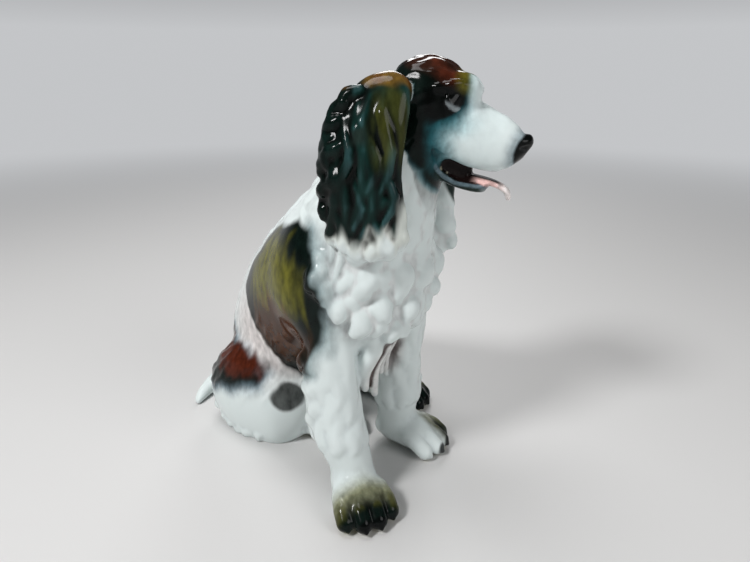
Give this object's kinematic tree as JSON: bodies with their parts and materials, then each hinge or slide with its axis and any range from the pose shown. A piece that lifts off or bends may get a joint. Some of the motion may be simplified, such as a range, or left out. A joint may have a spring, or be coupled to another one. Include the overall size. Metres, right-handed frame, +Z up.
{
  "type": "seated spaniel figure",
  "caption": "Glazed porcelain figure of a seated spaniel with hanging ears, its head turned, mouth open and tongue out; stands free on its paws, haunches and flat seat",
  "frame": {"origin": "on the floor under the middle of the figure's bounding box", "axes": "+X is the way the chest faces, +Y is the dog's left, +Z is up"},
  "size_m": [0.2149, 0.1492, 0.2415],
  "materials": {
    "body_glaze": "gloss",
    "head_glaze": "gloss",
    "jaw_glaze": "gloss",
    "tongue_glaze": "gloss",
    "ear_glaze": "gloss",
    "leg_glaze": "gloss",
    "foot_glaze": "gloss"
  },
  "bodies": {
    "root": {"body_shell": "body_glaze", "head_shell": "head_glaze", "lower_jaw": "jaw_glaze", "tongue": "tongue_glaze", "right_ear": "ear_glaze", "left_ear": "ear_glaze", "right_foreleg": "leg_glaze", "left_foreleg": "leg_glaze", "right_haunch": "leg_glaze", "left_haunch": "leg_glaze", "right_hind_foot": "foot_glaze", "left_hind_foot": "foot_glaze", "tail": "leg_glaze"}
  },
  "joints": []
}
